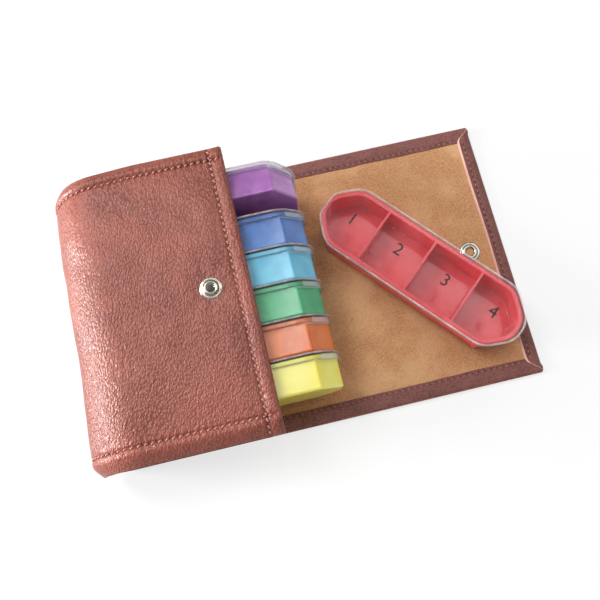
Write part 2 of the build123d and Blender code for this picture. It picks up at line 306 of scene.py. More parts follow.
def slab(name, face, back, finishes, slots=None):
    # two matching grids, the shown face and the hidden back, joined round their border
    rows, columns = face.shape[:2]
    count = rows * columns
    points = np.concatenate([face.reshape(-1, 3), back.reshape(-1, 3)])
    ids = np.arange(count).reshape(rows, columns)
    quads = np.stack([ids[:-1, :-1], ids[1:, :-1], ids[1:, 1:], ids[:-1, 1:]], -1).reshape(-1, 4)
    border = np.concatenate([ids[:-1, 0], ids[-1, :-1], ids[:0:-1, -1], ids[0, :0:-1]])
    after = np.roll(border, -1)
    rim = np.stack([after, border, border + count, after + count], -1)
    allFaces = np.concatenate([quads, quads[:, ::-1] + count, rim])
    a, b, c, d = (points[allFaces[:, corner]] for corner in range(4))
    volume = np.einsum("ij,ij->i", a, np.cross(b, c) + np.cross(c, d)).sum()
    if volume < 0:
        allFaces = allFaces[:, ::-1]
    if slots is not None:
        slots = np.concatenate([slots.ravel(), slots.ravel(), np.zeros(len(rim))])
    return makePiece(name, points, allFaces.tolist(), finishes, slots)


def lathe(name, profile, centre, finish, segments=56):
    # a profile of radius and height turned about the upright through the centre, closed at both poles
    profile = np.array(profile, float)
    turn = np.linspace(0, 2 * np.pi, segments, endpoint=False)
    rings = np.stack([profile[1:-1, 0, None] * np.cos(turn), profile[1:-1, 0, None] * np.sin(turn),
                      np.repeat(profile[1:-1, 1, None], segments, 1)], -1)
    points = np.concatenate([rings.reshape(-1, 3), [[0, 0, profile[0, 1]], [0, 0, profile[-1, 1]]]]) + centre
    count = len(rings)
    ids = np.arange(count * segments).reshape(count, segments)
    nextIds = np.roll(ids, -1, 1)
    quads = np.stack([ids[:-1], ids[1:], nextIds[1:], nextIds[:-1]], -1).reshape(-1, 4).tolist()
    first, last = count * segments, count * segments + 1
    quads += np.stack([np.full(segments, first), ids[0], nextIds[0]], -1).tolist()
    quads += np.stack([ids[-1], np.full(segments, last), nextIds[-1]], -1).tolist()
    return makePiece(name, points, quads, [finish])


wall = {"spineX": boxOf("wrap_leather")[0][0], "frontZ": boxOf("wrap_leather")[1][2],
        "mouthX": boxOf("mouth_binding")[1][0], "halfWidth": boxOf("cover_leather")[1][1],
        "endX": boxOf("cover_leather")[1][0], "hemIn": boxOf("cover_hem_upper")[0][1],
        "hemZ": boxOf("cover_hem_upper")[1][2], "liningZ": boxOf("cover_lining")[1][2],
        "endHemX": boxOf("cover_hem_end")[0][0], "bend": 12.0, "splitX": -28.0}
studLow, studHigh = boxOf("snap_stud")
studAt = (studLow + studHigh) / 2
socketLow, socketHigh = boxOf("snap_socket")
socketAt = (socketLow + socketHigh) / 2
creases = [boxOf("near_bend_lining")[0][0], boxOf("wall_lining")[0][0],
           boxOf("far_bend_lining")[0][0], boxOf("cover_lining")[0][0]]
print("creases", creases)

pocket = {"sheet": 1.35, "hemRound": 1.5, "hemLift": 0.45, "hemDeep": 6.4, "seam": 58.7, "mouthSeam": 6.3,
          "dome": 1.0, "brow": 22.0, "edgeRound": 0.9, "thinnest": 0.12, "stitch": 3.0, "upperCut": (3.6, 11.0),
          "lowerCut": (0.3, 8.0), "taper": (2.0, 40.0), "flange": 2.0, "roll": 1.1, "sag": 2.5, "bulge": 2.6,
          "bulgeLong": 20, "bulgeFrom": 15, "wave": 0.32, "waveLong": 6.5, "fine": 0.14, "fineLong": 2.6,
          "studDip": 8.5, "studFold": 0.14, "studFolds": 9, "valley": 0.55, "mouthValley": 0.5, "valleyWide": 0.8,
          "edgeRise": 0.5, "pucker": 0.16, "puckerWide": 1.9, "mouthSwell": 0.1}
pocket["seamX"] = wall["mouthX"] - pocket["mouthSeam"]
pocket["browX"] = wall["spineX"] + pocket["brow"]
# the run is the way along the sheet and equals x on the front; here it is taken where the brow and the spine begin
pocket["browRun"] = pocket["browX"] - pocket["brow"] * np.pi / 2
pocket["spineRun"] = pocket["browRun"] - (wall["frontZ"] - pocket["brow"] - wall["bend"])


def cornered(x, y):
    # near the spine each side draws in on a quarter round, more at the upper side
    share = []
    for cut, reach in (pocket["upperCut"], pocket["lowerCut"]):
        deep = np.clip((wall["spineX"] + reach - x) / reach, 0, 1)
        share.append(1 - cut / wall["halfWidth"] * (1 - np.sqrt(1 - deep ** 2)))
    taper, reach = pocket["taper"]
    share[0] = share[0] - taper / wall["halfWidth"] * np.clip((wall["spineX"] + reach - x) / reach, 0, 1)
    return y * np.where(y > 0, share[0], share[1])


def frontSag(y):
    # the edges outside the seams roll down, the lower one further
    beyond = ease(pocket["seam"], wall["halfWidth"], np.abs(y))
    return -beyond ** 2 * (pocket["roll"] + np.where(y < 0, pocket["sag"], 0))


def frontRise(x, y):
    # height over the flat front: a low dome, seam valleys with puckers, a raised mouth, pull at the stud
    side = np.abs(y)
    beyond = ease(pocket["seam"], wall["halfWidth"], side)
    fromStud = np.hypot(x - studAt[0], y - studAt[1])
    angle = np.arctan2(y - studAt[1], x - studAt[0])
    inside = 1 - np.clip(side / pocket["seam"], 0, 1) ** 5
    run = ease(0, 9, pocket["seamX"] - x)
    rise = pocket["dome"] * inside * (0.35 + 0.65 * run)
    rise = rise + pocket["wave"] * ripple(x, y, pocket["waveLong"]) * inside * run
    rise = rise + pocket["fine"] * ripple(y + 20, x, pocket["fineLong"]) * inside
    rise = rise * (1 - bell(fromStud, pocket["studDip"]))
    rise = rise + pocket["studFold"] * np.cos(pocket["studFolds"] * angle) * bell(fromStud - 9.5, 3.2)
    rise = rise - pocket["valley"] * bell(side - pocket["seam"], pocket["valleyWide"])
    rise = rise + pocket["edgeRise"] * np.sin(np.pi * beyond)
    rise = rise - pocket["mouthValley"] * bell(x - pocket["seamX"], pocket["valleyWide"])
    rise = rise + pocket["hemLift"] * ease(pocket["seamX"], pocket["seamX"] + 3, x)
    for along, fromSeam in ((x, side - pocket["seam"]), (y, x - pocket["seamX"])):
        pucker = pocket["pucker"] * np.cos(2 * np.pi * along / pocket["stitch"])
        rise = rise + pucker * bell(fromSeam, pocket["puckerWide"])
    return rise


def spinePath(floorX, topX, inset, steps):
    # back, heel quarter round, upright spine, brow quarter round, front: arrays of run, x, z and the way out in x and z
    heel, brow, spineX, frontZ = wall["bend"], pocket["brow"], wall["spineX"], wall["frontZ"]
    turn = np.linspace(0, np.pi / 2, steps)[1:-1]
    spineZ = np.linspace(heel, frontZ - brow, steps)
    start = pocket["spineRun"]
    run = np.concatenate([start - heel * np.pi / 2 - (floorX - spineX - heel), start - heel * (np.pi / 2 - turn),
                          start + spineZ - heel, pocket["browRun"] + brow * turn, topX])
    x = np.concatenate([floorX, spineX + heel - (heel - inset) * np.sin(turn), 0 * spineZ + spineX + inset,
                        spineX + brow - (brow - inset) * np.cos(turn), topX])
    z = np.concatenate([0 * floorX + inset, heel - (heel - inset) * np.cos(turn), spineZ,
                        frontZ - brow + (brow - inset) * np.sin(turn), 0 * topX + frontZ - inset])
    outX = np.concatenate([0 * floorX, -np.sin(turn), 0 * spineZ - 1, -np.cos(turn), 0 * topX])
    outZ = np.concatenate([0 * floorX - 1, -np.cos(turn), 0 * spineZ, np.sin(turn), 0 * topX + 1])
    return run, x, z, outX, outZ


def spineBulge(run, y):
    # the spine stands out at its lower end
    lower = ease(pocket["bulgeFrom"], wall["halfWidth"], -y) ** 1.5
    return pocket["bulge"] * bell(run - pocket["browRun"], pocket["bulgeLong"]) * lower


def pocketLeather():
    # one sheet: the spine's path, then the round mouth and the part turned under, carried across the width
    mouthX, hemRound, half = wall["mouthX"], pocket["hemRound"], wall["halfWidth"]
    floorX = np.linspace(wall["splitX"], wall["spineX"] + wall["bend"], 40)
    topX = np.concatenate([np.linspace(pocket["browX"], mouthX - 10, 80),
                           np.linspace(mouthX - 9.6, mouthX - hemRound, 28)[:-1]])
    path = spinePath(floorX, topX, 0.0, 22)
    mouth = np.linspace(0, np.pi, 14)
    hemMid = wall["frontZ"] + pocket["hemLift"] - hemRound
    underX = np.linspace(mouthX - hemRound, mouthX - pocket["hemDeep"], 9)[1:]
    turned = (mouthX + np.arange(len(mouth) + len(underX)),
              np.concatenate([mouthX - hemRound + hemRound * np.sin(mouth), underX]),
              np.concatenate([hemMid + hemRound * np.cos(mouth), 0 * underX + hemMid - hemRound]),
              np.concatenate([np.sin(mouth), 0 * underX]), np.concatenate([np.cos(mouth), 0 * underX - 1]))
    run, x, z, outX, outZ = (np.concatenate(pair)[:, None] for pair in zip(path, turned))
    isTurned = np.arange(len(run))[:, None] >= len(path[0])
    rounding = half - pocket["edgeRound"] + pocket["edgeRound"] * np.sin(np.linspace(0, np.pi / 2, 6))
    seamRows = pocket["seam"] + np.array([-2.1, -1.4, -0.7, -0.35, 0, 0.35, 0.7, 1.4, 2.1])
    y = np.unique(np.round(np.concatenate([np.linspace(-half + 1.2, half - 1.2, 121), rounding, -rounding,
                                           seamRows, -seamRows]), 3))[None, :]
    over = np.clip((np.abs(y) - half + pocket["edgeRound"]) / pocket["edgeRound"], 0, 1)
    thin = np.maximum(np.sqrt(1 - over ** 2), pocket["thinnest"])
    # the relief fades out over the heel, so the back lies flat
    full = ease(pocket["spineRun"] - 6, pocket["spineRun"] + 9, run)
    swell = pocket["mouthSwell"] * np.cos(2 * np.pi * y / pocket["stitch"]) * bell(x - mouthX + 2.5, 2.5)
    swell = swell * (z > hemMid - 0.2)
    lift = np.where(isTurned, swell, full * frontRise(run, y))
    base = np.where(isTurned, 0.0, full * (frontSag(y) + spineBulge(run, y)))
    middle = -pocket["sheet"] / 2
    face = base + middle + thin * (lift - middle)
    back = base + middle + thin * (-pocket["sheet"] - middle) + 0 * face
    beyond = ease(pocket["seam"], half, -y)
    wide = cornered(x, y) - pocket["flange"] * beyond * full
    drop = np.where(isTurned, frontSag(y), 0.0)
    grids = [np.stack([x + outX * out, wide + 0 * out, z + outZ * out + drop], -1) for out in (face, back)]
    return slab("pocketLeather", grids[0], grids[1], [outerLeather]), grids[0], y[0], len(path[0])


pocketPiece, pocketFace, pocketRows, frontEnd = pocketLeather()
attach(pocketPiece, "wallet")
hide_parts("wrap_leather", "mouth_binding", "front_board")
print("pocket leather done")

felt = {"sheet": 0.55, "floorEnd": wall["splitX"] - 0.1, "halfWidth": 60.6, "gap": 0.05, "fromHem": 0.3, "pile": 0.06}


def pocketLining():
    # the same path one sheet further in, with a soft uneven pile
    floorX = np.linspace(felt["floorEnd"], wall["spineX"] + wall["bend"], 40)
    ceilX = np.linspace(pocket["browX"], wall["mouthX"] - pocket["hemDeep"] - felt["fromHem"], 40)
    path = spinePath(floorX, ceilX, pocket["sheet"] + felt["gap"], 14)
    x, z, outX, outZ = (part[:, None] for part in path[1:])
    y = np.linspace(-felt["halfWidth"], felt["halfWidth"], 80)[None, :]
    inner = -felt["sheet"] - felt["pile"] * ripple(x * 2 + z, y * 2, 3.0)
    wide = cornered(x, y)
    face, back = (np.stack([x + outX * out, wide + 0 * out, z + outZ * out], -1) for out in (inner, 0 * inner))
    return slab("pocketLining", face, back, [liningFelt]), np.hypot(np.diff(x[:, 0]), np.diff(z[:, 0])).sum()


liningPiece, liningLong = pocketLining()
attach(liningPiece, "wallet")
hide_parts("wrap_lining")
2 * felt["halfWidth"] * mm
print("pocket lining cut", round(2 * felt["halfWidth"], 1), "by", round(float(liningLong), 1))


gussetForm = {"start": 0.3, "inset": 2.1, "bow": 1.9, "bowRun": 14, "wave": 0.15, "waveLong": 5.0, "sheet": 1.1}


def gusset(side):
    # a soft strip closing the pocket's end, bowed inwards along its middle and following the bends of the spine
    low, high = boxOf("gusset_upper")
    x = np.linspace(low[0] + gussetForm["start"], high[0], 70)[:, None]
    ends = []
    for bend in (wall["bend"], pocket["brow"]):
        inner = bend - gussetForm["inset"]
        cut = np.clip((wall["spineX"] + bend - x) / inner, 0, 0.999)
        ends.append(inner * (1 - np.sqrt(1 - cut ** 2)))
    share = np.linspace(0, 1, 30)[None, :]
    z = low[2] + ends[0] + share * (high[2] - low[2] - ends[0] - ends[1])
    bow = gussetForm["bow"] * np.sin(np.pi * share) ** 1.5 * ease(low[0], low[0] + gussetForm["bowRun"], x)
    bow = bow + gussetForm["wave"] * ripple(x, z, gussetForm["waveLong"])
    outer = side * cornered(x, side * (high[1] + 0 * bow)) - bow
    face = np.stack([x + 0 * bow, side * outer, z], -1)
    back = np.stack([x + 0 * bow, side * (outer - gussetForm["sheet"]), z], -1)
    return slab("gusset" + ("Upper" if side > 0 else "Lower"), face, back, [turnedLeather])


for side, node in ((1, "gusset_upper"), (-1, "gusset_lower")):
    piece = gusset(side)
    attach(piece, "wallet")
    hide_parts(node)
print("pocket inside done")

flap = {"sheet": 1.2, "lip": 0.95, "edge": 1.3, "stitchY": 58.4, "endStitch": 98.9, "endRound": 1.2,
        "thinnest": 0.15, "crown": 0.3, "valley": 0.35, "lipDrop": 0.3, "pucker": 0.12, "wave": 0.1,
        "capWell": 0.75, "capRim": (6.15, 5.95), "capFloor": 0.4, "cornerIn": 1.2, "tuck": 1.8, "tuckFrom": 6,
        "bendReach": 3.0, "pile": 0.1, "feltTuck": 0.7, "socketRise": 0.25}


def hemWave(x, side):
    # the hem's cut edge wanders, in long and short waves
    return 0.25 * ripple(x, 30 * side, 7.0) + 0.12 * ripple(x, 9 * side, 2.3)


def flapLeather(name, startX, endX):
    # section: turned hem, round edge, outside, round edge, turned hem; carried along the length
    half, edge, hemIn, hemZ = wall["halfWidth"], flap["edge"], wall["hemIn"], wall["hemZ"]
    arc = np.linspace(0, np.pi, 11)[1:-1]
    hemY = np.concatenate([[hemIn, hemIn + 0.25, hemIn + 0.6], np.linspace(hemIn + 1, half - edge, 16)])
    flatY = np.linspace(half - edge, edge - half, 60)
    hem, bend, flat = np.ones(len(hemY)), np.ones(len(arc)), np.ones(len(flatY))
    lip, sheet = flap["lip"], flap["sheet"]
    section = ((hemY, half - edge + edge * np.sin(arc), flatY, edge - half - edge * np.sin(arc), -hemY[::-1]),
               (hem * hemZ, edge + edge * np.cos(arc), 0 * flat, edge - edge * np.cos(arc), hem * hemZ),
               (0 * hem, np.sin(arc), 0 * flat, -np.sin(arc), 0 * hem),
               (hem, np.cos(arc), -flat, -np.cos(arc), hem),
               (hem * lip, bend * lip, flat * sheet, bend * lip, hem * lip),
               (hem, 0 * bend, 0 * flat, 0 * bend, hem))
    pathY, pathZ, outY, outZ, deep, isHem = (np.concatenate(parts)[None, :] for parts in section)
    ends = wall["endX"] - flap["endRound"] + flap["endRound"] * np.sin(np.linspace(0, np.pi / 2, 6))
    x = np.linspace(startX, min(endX, ends[0]), max(8, int(endX - startX)))
    if endX >= wall["endX"] - 0.01:
        x = np.concatenate([x, ends[1:]])
    x = x[:, None]
    over = np.clip((x - ends[0]) / flap["endRound"], 0, 1)
    thin = np.maximum(np.sqrt(1 - over ** 2), flap["thinnest"])
    side, sign = np.abs(pathY), np.sign(pathY)
    across = np.clip((side - hemIn) / (half - hemIn), 0, 1)
    fromSeam = side - flap["stitchY"]
    rise = flap["crown"] * np.sin(np.pi * across) - flap["valley"] * bell(fromSeam, 0.7)
    rise = rise - flap["lipDrop"] * bell(side - hemIn, 0.35)
    rise = rise + flap["pucker"] * np.cos(2 * np.pi * x / pocket["stitch"]) * bell(fromSeam, 1.6)
    rise = rise + flap["wave"] * ripple(x, pathY, 3.0)
    # the outside is hollowed where the snap's cap sits
    capWell = flap["capWell"] * ease(*flap["capRim"], np.hypot(x - socketAt[0], pathY - socketAt[1]))
    outside = pathZ == 0
    lift = isHem * rise - outside * capWell
    middle = -deep / 2
    face = middle + thin * (lift - middle)
    back = middle + thin * (-deep - middle) - outside * np.maximum(capWell - flap["capFloor"], 0)
    tip = isHem * sign * hemWave(x, sign) * bell(side - hemIn, 2.0)
    shrink = pathY - sign * flap["cornerIn"] * over ** 3 + tip
    # the side hem's inner corner is drawn back under the end hem
    tuck = flap["tuck"] * isHem * ease(wall["endX"] - flap["tuckFrom"], wall["endX"], x)
    tuck = tuck * ease(half - edge, hemIn + 2, side)
    face, back = (np.stack([x - tuck + 0 * out, shrink + outY * out, pathZ + outZ * out], -1) for out in (face, back))
    slot = np.tile(((isHem[:, :-1] + isHem[:, 1:]) > 0).astype(int), (len(x) - 1, 1))
    return slab(name, face, back, [outerLeather, turnedLeather], slot)


def flapLining(name, startX, endX):
    # a flat felt sheet whose edges are tucked under the hems
    x = np.linspace(startX, endX, max(8, int((endX - startX) * 0.8)))[:, None]
    y = np.linspace(-wall["hemIn"] - flap["feltTuck"], wall["hemIn"] + flap["feltTuck"], 96)[None, :]
    z = wall["liningZ"] + flap["pile"] * ripple(x, y, 1.6) + flap["pile"] * ripple(y, x, 4.5)
    z = z + flap["socketRise"] * bell(np.hypot(x - socketAt[0], y - socketAt[1]) - 6.5, 1.5)
    face = np.stack([x + 0 * z, y + 0 * z, z], -1)
    back = np.stack([x + 0 * z, y + 0 * z, 0 * z + flap["sheet"] + felt["gap"]], -1)
    return slab(name, face, back, [liningFelt])


cuts = [wall["splitX"]] + [(creases[k] + creases[k + 1]) / 2 for k in range(3)] + [wall["endX"]]
lengths = {"A": "near_bend", "B": "wall", "C": "far_bend", "D": "cover"}


def foldOver(piece, index):
    # bakes the piece's placing into its mesh; the sheet is left unbent at its crease
    reach = flap["bendReach"] * mm
    at, up = creases[index] * mm, wall["hemZ"] * mm
    at - reach
    at + reach
    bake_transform(piece)


for index, (name, length) in enumerate(lengths.items()):
    piece = flapLeather("flapLeather" + name, cuts[index], cuts[index + 1])
    foldOver(piece, index)
    base = ["base_hem_upper", "base_hem_lower"] if index == 0 else []
    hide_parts(*base, length + "_leather", length + "_hem_upper", length + "_hem_lower")
    end = cuts[index + 1] if index < 3 else wall["endHemX"] + 2.0
    piece = flapLining("flapLining" + name, cuts[index], end)
    foldOver(piece, index)
    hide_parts(length + "_lining")
    (end - cuts[index]) * mm
    2 * (wall["hemIn"] + flap["feltTuck"]) * mm
print("flap done")


strip = {"halfLong": 63.7, "corner": 56, "wave": 0.3, "turnOut": (56.5, 64.2), "fromEnd": 0.25,
         "cornerIn": (61.5, 64.5), "foot": 1.25, "base": 1.95, "crown": 0.85, "fall": 0.6, "lip": 0.3,
         "lipAt": 0.06, "overHem": 0.55, "overFrom": (55.5, 58), "fine": 0.1, "valley": 0.25, "raw": (0.09, 0.17)}


def endHem():
    # a strip lying over the side hems; its inner edge turns out to the corners, where the strip runs to nothing
    last, corner = strip["halfLong"], strip["corner"]
    y = np.concatenate([np.linspace(-last, -corner, 22), np.linspace(1 - corner, corner - 1, 111),
                        np.linspace(corner, last, 22)])[:, None]
    share = (0.5 - 0.5 * np.cos(np.pi * np.linspace(0, 1, 20)))[None, :]
    side = np.abs(y)
    innerX = wall["endHemX"] + strip["wave"] * ripple(y, 3.0, 8.0)
    innerX = innerX + (wall["endX"] - wall["endHemX"] - 1.0) * ease(*strip["turnOut"], side) ** 1.5
    outerX = wall["endX"] - strip["fromEnd"] - 1.0 * ease(*strip["cornerIn"], side) ** 2
    x = innerX + share * (outerX - innerX)
    z = strip["base"] - strip["fall"] * ease(0.5, 1, share) + strip["crown"] * (1 - np.abs(2 * share - 1) ** 6)
    z = z + strip["lip"] * bell(share - strip["lipAt"], strip["lipAt"])
    z = z + strip["overHem"] * ease(*strip["overFrom"], side) * np.sin(np.pi * share) ** 0.35
    z = z + strip["fine"] * ripple(y, x, 3.0)
    z = z - strip["valley"] * bell(x - flap["endStitch"], 0.7)
    face = np.stack([x, y + 0 * x, z], -1)
    back = np.stack([x, y + 0 * x, 0 * x + strip["foot"]], -1)
    piece = slab("endHem", face, back, [turnedLeather])
    edge = (1 - ease(*strip["raw"], share)) + 0 * x
    values = np.concatenate([edge.ravel(), edge.ravel()])
    piece.data.attributes.new("rawEdge", "FLOAT", "POINT").data.foreach_set("value", values)
    return piece


hemPiece = endHem()
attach(hemPiece, "flap_cover")
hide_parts("cover_hem_end")


def stitches(name, centre, along, out, size, finish):
    # every stitch is a short bowed thread whose ends dive into the leather
    centre, along, out = (np.array(part, float) for part in (centre, along, out))
    along /= np.linalg.norm(along, axis=1, keepdims=True)
    across = np.cross(out, along)
    sides, rings = 6, 7
    turn = np.linspace(0, 2 * np.pi, sides, endpoint=False)
    step = np.linspace(-1, 1, rings)[:, None]
    thick = size["thread"] * np.sqrt(np.clip(1.08 - step ** 4, 0.05, 1))
    local = np.stack([np.repeat(step * size["long"] / 2, sides, 1), thick * np.cos(turn),
                      thick * np.sin(turn) + size["bow"] * (1 - 1.9 * step ** 2)], -1).reshape(-1, 3)
    points = (centre[:, None] + local[None, :, :1] * along[:, None] + local[None, :, 1:2] * across[:, None]
              + local[None, :, 2:] * out[:, None]).reshape(-1, 3)
    ids = np.arange(sides * rings).reshape(rings, sides)
    nextIds = np.roll(ids, -1, 1)
    quads = np.stack([ids[:-1], nextIds[:-1], nextIds[1:], ids[1:]], -1).reshape(-1, 4)
    shift = sides * rings * np.arange(len(centre))
    faces = (quads[None] + shift[:, None, None]).reshape(-1, 4).tolist()
    faces += (ids[0][::-1][None] + shift[:, None]).tolist() + (ids[-1][None] + shift[:, None]).tolist()
    threadFaces = len(faces)
    # a needle hole at each end: a small flat double cone, coloured dark as painted shade in the hole
    ends = np.concatenate([centre - along * size["long"] * 0.53, centre + along * size["long"] * 0.53])
    outs, flats, alongs = (np.concatenate([part, part])[:, None] for part in (out, across, along))
    ring = size["hole"] * (np.cos(turn)[None, :, None] * alongs + np.sin(turn)[None, :, None] * flats)
    cone = np.concatenate([ring, 0.08 * outs, -0.4 * outs], 1) + ends[:, None]
    corner = np.arange(sides)
    after = np.roll(corner, -1)
    fan = np.concatenate([np.stack([corner, after, 0 * corner + sides], -1),
                          np.stack([after, corner, 0 * corner + sides + 1], -1)])
    base = len(points) + (sides + 2) * np.arange(len(ends))
    faces += (fan[None] + base[:, None, None]).reshape(-1, 3).tolist()
    points = np.concatenate([points, cone.reshape(-1, 3)])
    return makePiece(name, points, faces, [finish, holeShadeFinish], np.arange(len(faces)) >= threadFaces)


thread = {"long": 2.1, "thread": 0.4, "bow": 0.24, "slant": 0.45, "hole": 0.52, "above": 0.1}
hemSewing = {"long": 1.9, "thread": 0.27, "bow": 0.08, "hole": 0.36, "sunk": 0.12, "endReach": 57, "endTop": 2.82}
pitch = pocket["stitch"]


def alongGrid(line, normals, start, end):
    # even steps along a line of the leather's grid
    reach = np.concatenate([[0], np.cumsum(np.linalg.norm(np.diff(line, axis=0), axis=1))])
    at = np.arange(start, reach[-1] - end, pitch)
    parts = (line, np.gradient(line, reach, axis=0), normals)
    return [np.stack([np.interp(at, reach, part[:, axis]) for axis in range(3)], -1) for part in parts]


def pocketStitches():
    # one line inside each long edge, over the brow and down the spine, and one along the mouth
    front = pocketFace[:frontEnd]
    normal = np.cross(np.gradient(front, axis=0), np.gradient(front, axis=1))
    normal = normal / np.linalg.norm(normal, axis=-1, keepdims=True)
    middle = front.shape[1] // 2
    normal = normal * np.sign(normal[-20, middle, 2])
    never = 99  # added to the rows that mustn't be picked
    lines = []
    for side in (-1, 1):
        column = int(np.argmin(np.abs(pocketRows - side * pocket["seam"])))
        past = front[:, column, 0] > wall["spineX"] + 4
        first = int(np.argmin(np.abs(front[:, column, 2] - wall["bend"]) + past * never))
        lines.append(alongGrid(front[first:, column], normal[first:, column], 1.0, 0.3))
    below = front[:, middle, 2] < wall["bend"]
    row = int(np.argmin(np.abs(front[:, middle, 0] - pocket["seamX"]) + below * never))
    lines.append(alongGrid(front[row], normal[row], 2.0, 1.6))
    centre, along, out = (np.concatenate(part) for part in zip(*lines))
    along = along / np.linalg.norm(along, axis=1, keepdims=True)
    out = out / np.linalg.norm(out, axis=1, keepdims=True)
    along = along + thread["slant"] * np.cross(out, along)
    return stitches("pocketStitches", centre + thread["above"] * out, along, out, thread, threadFinish)


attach(pocketStitches(), "wallet")


def flapStitches(name, startX, endX):
    # through both hems: seen on the hems and again on the outside
    runX = np.arange(np.ceil((startX + 0.8) / pitch) * pitch, endX - 0.8, pitch)
    centre, along, out = [], [], []
    for side in (-1, 1):
        for z, up in ((wall["hemZ"] - hemSewing["sunk"], 1.0), (hemSewing["sunk"], -1.0)):
            centre.append(np.stack([runX, 0 * runX + side * flap["stitchY"], 0 * runX + z], -1))
            along.append(np.stack([0 * runX + 1, 0 * runX + thread["slant"], 0 * runX], -1))
            out.append(np.stack([0 * runX, 0 * runX, 0 * runX + up], -1))
    return stitches(name, np.concatenate(centre), np.concatenate(along), np.concatenate(out), hemSewing, hemThread)


for index, name in enumerate(lengths):
    end = cuts[index + 1] if index < 3 else wall["endHemX"]
    foldOver(flapStitches("flapStitches" + name, cuts[index], end), index)


def endStitches():
    # through the end hem, seen on both sides of the flap
    runY = np.arange(-hemSewing["endReach"], hemSewing["endReach"] + 1, pitch)
    centre, out = [], []
    for z, up in ((hemSewing["endTop"], 1.0), (hemSewing["sunk"], -1.0)):
        centre.append(np.stack([0 * runY + flap["endStitch"], runY, 0 * runY + z], -1))
        out.append(np.stack([0 * runY, 0 * runY, 0 * runY + up], -1))
    along = np.tile([0.1, 1.0, 0.0], (2 * len(runY), 1))
    return stitches("endStitches", np.concatenate(centre), along, np.concatenate(out), hemSewing, hemThread)


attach(endStitches(), "flap_cover")
print("stitching done")

# profiles of radius and height, from the middle of the top round to the middle of the underside
stud = {"profile": [(0, 0.45), (1.0, 0.45), (1.45, 0.55), (1.7, 0.95), (2.0, 1.3), (2.5, 1.48), (3.0, 1.4),
                    (3.3, 1.1), (3.45, 0.7), (3.8, 0.5), (4.3, 0.58), (4.8, 0.5), (5.1, 0.25), (5.2, -0.1),
                    (5.1, -0.35), (0, -0.35)],
        "well": [(0, 0.62), (1.2, 0.62), (1.5, 0.5), (1.5, 0.2), (0, 0.2)],
        "foot": np.array([studAt[0], studAt[1], wall["frontZ"]])}
socket = {"profile": [(0, 0.35), (1.6, 0.35), (1.85, 0.6), (2.0, 1.0), (2.3, 1.2), (2.9, 1.28), (3.4, 1.18),
                      (3.7, 0.95), (4.1, 0.85), (4.7, 0.92), (5.0, 0.75), (5.2, 0.4), (5.2, 0.0), (0, 0.0)],
          "well": [(0, 0.5), (1.6, 0.5), (1.95, 0.4), (1.95, 0.1), (0, 0.1)],
          "foot": np.array([socketAt[0], socketAt[1], socketLow[2] + 0.05])}
piece = lathe("snapStud", stud["profile"], stud["foot"], nickel)
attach(piece, "wallet")
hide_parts("snap_stud")
piece = lathe("snapSocket", socket["profile"], socket["foot"], nickel)
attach(piece, "flap_cover")
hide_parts("snap_socket")
# the dark hollows in their middles: small discs whose dark colour is painted shade
piece = lathe("studWell", stud["well"], stud["foot"], darkMetalAndHollowShade, 32)
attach(piece, "wallet")
piece = lathe("socketWell", socket["well"], socket["foot"], darkMetalAndHollowShade, 32)
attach(piece, "flap_cover")


def dress(node, finish):
    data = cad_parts[node].data
    data.materials.clear()
    data.materials.append(finish.material)


for node in ("back_board", "cover_board"):
    dress(node, boardFinish)
for node in ("stud_rivet", "snap_cap"):
    dress(node, nickel)
dress("socket_spring", darkMetalAndHollowShade)
for name, finish in plastics.items():
    dress(name + "_tray", finish)
    dress(name + "_lid", clearPlastic)
print("plastics and metal done")

dayBox = {"overLid": 16.45, "roomPitch": 26.0, "halfTray": 52.6, "trail": 0.9, "lean": math.radians(16),
          "leaning": (35.435, 23.224), "turn": math.radians(-48.48)}


def boxFrame(name):
    # origin at the middle of the tray's underside, first axis along the box, third towards the lid
    low, high = boxOf(name + "_tray")
    first = np.array([1.0, 0, 0])
    if name == "red":
        first = np.array([math.cos(dayBox["turn"]), math.sin(dayBox["turn"]), 0])
        origin = (low + high) / 2 + dayBox["trail"] / 2 * first
        return np.array([origin[0], origin[1], low[2]]), first, np.array([0, 0, 1.0])
    middle = low[0] + dayBox["halfTray"] + dayBox["trail"]
    if name == "purple":
        third = np.array([0, math.cos(dayBox["lean"]), -math.sin(dayBox["lean"])])
        return np.array([middle, *dayBox["leaning"]]), first, third
    return np.array([middle, low[1], (low[2] + high[2]) / 2]), first, np.array([0, 1.0, 0])


figures = {"size": 8.6, "thick": 0.06}


def figure(name, number):
    # a printed numeral over the middle of its room
    origin, first, third = boxFrame(name)
    second = np.cross(third, first)
    label = f"{name}Figure{number}"
    curve = bpy.data.curves.new(label, "FONT")
    curve.body = str(number)
    curve.size = figures["size"] * mm
    curve.align_x, curve.align_y = "CENTER", "CENTER"
    curve.extrude = figures["thick"] * mm / 2
    curve.resolution_u = 4
    holder = bpy.data.objects.new(label + "Text", curve)
    bpy.context.collection.objects.link(holder)
    bpy.context.view_layer.update()
    mesh = bpy.data.meshes.new_from_object(holder.evaluated_get(bpy.context.evaluated_depsgraph_get()))
    bpy.data.objects.remove(holder)
    at = origin + first * dayBox["roomPitch"] * (number - 2.5) + third * (dayBox["overLid"] + figures["thick"] / 2)
    axes = Matrix([[*row] for row in np.stack([first, second, third], 1)]).to_4x4()
    axes.translation = [part * mm for part in at]
    mesh.transform(axes)
    mesh.materials.clear()
    mesh.materials.append(inkFinish.material)
    mesh.name = label
    piece = bpy.data.objects.new(label, mesh)
    bpy.context.collection.objects.link(piece)
    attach(piece, name + "_lid")


bead = {"halfLong": 54.65, "halfWide": 17.05, "cut": 11.4, "round": 12.0, "trailEnd": -53.2, "inset": 0.4,
        "wide": 0.5, "high": 0.46, "sunk": 0.38}


